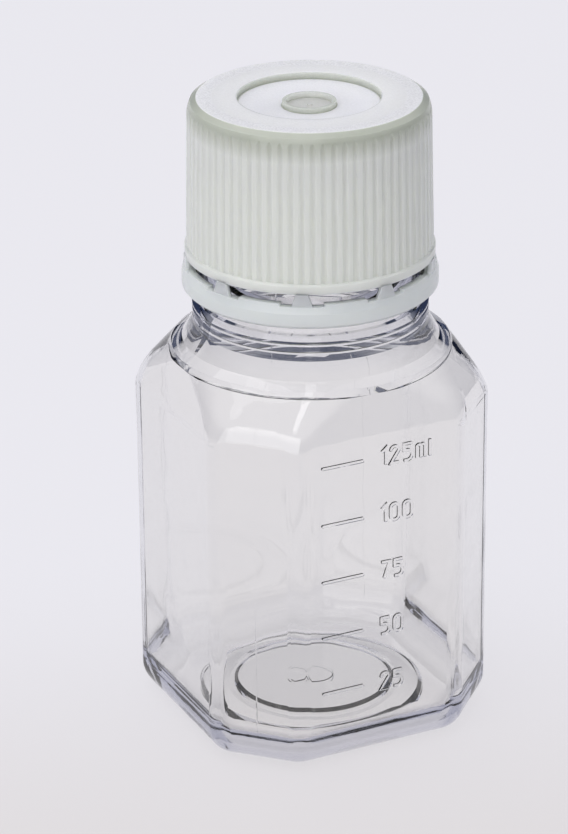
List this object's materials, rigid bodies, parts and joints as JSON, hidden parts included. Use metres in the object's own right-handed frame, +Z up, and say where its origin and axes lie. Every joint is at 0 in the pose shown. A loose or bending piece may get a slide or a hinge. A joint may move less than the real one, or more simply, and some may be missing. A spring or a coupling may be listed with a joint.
{
  "type": "graduated screw-cap laboratory bottle",
  "caption": "Clear square laboratory bottle with cut corners, a round stepped shoulder, a raised filling scale, and a ribbed screw cap over a tamper band.",
  "frame": {"origin": "middle of the base, on the surface that the bottle stands on", "axes": "+Z up along the neck and cap axis; -Y is the outward normal of the face with the filling scale; +X is to the right of that face"},
  "size_m": [0.0538, 0.0542, 0.1136],
  "materials": {
    "clear_polyester": "clear and glossy",
    "natural_polyethylene": "translucent, satin, frosted on top"
  },
  "bodies": {
    "bottle": {"bottle": "clear_polyester"},
    "tamper_band": {"tamper_band": "natural_polyethylene"},
    "cap": {"cap": "natural_polyethylene"}
  },
  "joints": [
    {"name": "cap_turn", "type": "hinge", "parent": "bottle", "child": "tamper_band", "pos_m": [0, 0, 0.0822], "axis": [0, 0, 1], "range_deg": [0, 1170]},
    {"name": "cap_lift", "type": "slide", "parent": "tamper_band", "child": "cap", "axis": [0, 0, 1], "range_m": [0, 0.01365]}
  ],
  "couplings": [
    {"joint": "cap_turn", "follows": "cap_lift", "rad_per_m": 1496}
  ]
}
